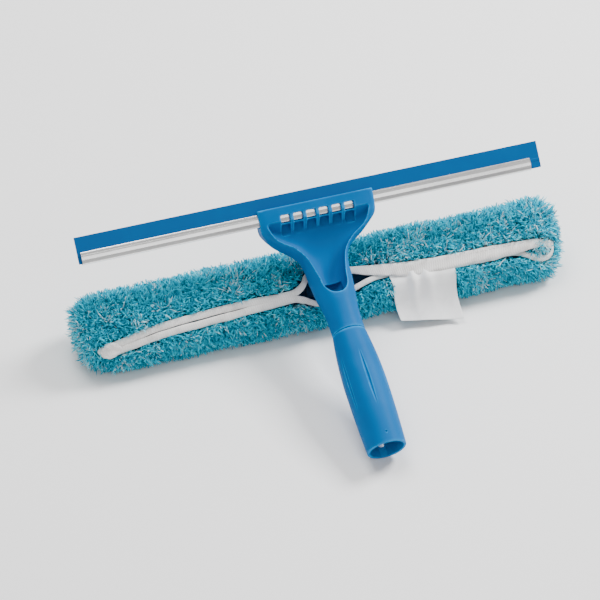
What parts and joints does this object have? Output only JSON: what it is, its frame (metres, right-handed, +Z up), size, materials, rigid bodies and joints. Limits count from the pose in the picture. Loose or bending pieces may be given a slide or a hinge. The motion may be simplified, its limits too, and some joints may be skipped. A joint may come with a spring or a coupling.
{
  "type": "window cleaning squeegee",
  "caption": "Hand-held window squeegee with a rubber blade in a metal channel, a hollow handle for a pole, and a microfibre washer sleeve on a T-bar behind it.",
  "frame": {"origin": "on the surface the tool lies on, under the middle of its box", "axes": "+X along the blade, +Y from the handle's open end towards the blade, +Z up with the tool lying on its sleeve"},
  "size_m": [0.362, 0.189, 0.0977],
  "materials": {
    "blue_plastic": "satin moulded",
    "blue_rubber": "matte",
    "aluminium": "extruded, satin",
    "spring_steel": "bright rolled",
    "dark_plastic": "satin moulded",
    "turquoise_pile": "microfibre pile",
    "white_tape": "woven tape",
    "white_satin": "satin weave",
    "grey_fastener": "hook and loop"
  },
  "bodies": {
    "handle": {"grip_shell": "blue_plastic", "handle_head": "blue_plastic", "channel_spring": "spring_steel"},
    "channel": {"squeegee_channel": "aluminium"},
    "blade": {"rubber_blade": "blue_rubber"},
    "washer": {"t_bar": "dark_plastic", "washer_stem": "dark_plastic", "stem_screw_left": "spring_steel", "stem_screw_right": "spring_steel", "washer_sleeve": "turquoise_pile", "sleeve_binding": "white_tape", "hook_strip": "grey_fastener", "loop_strip": "grey_fastener", "care_label": "white_satin"}
  },
  "joints": [
    {"name": "channel_slide", "type": "slide", "parent": "handle", "child": "channel", "axis": [1, 0, 0], "range_m": [-0.21, 0.22]},
    {"name": "blade_slide", "type": "slide", "parent": "channel", "child": "blade", "axis": [1, 0, 0], "range_m": [-0.35, 0.35]},
    {"name": "washer_pull", "type": "slide", "parent": "handle", "child": "washer", "axis": [0, 0.5224, -0.8527], "range_m": [0, 0.03]}
  ]
}
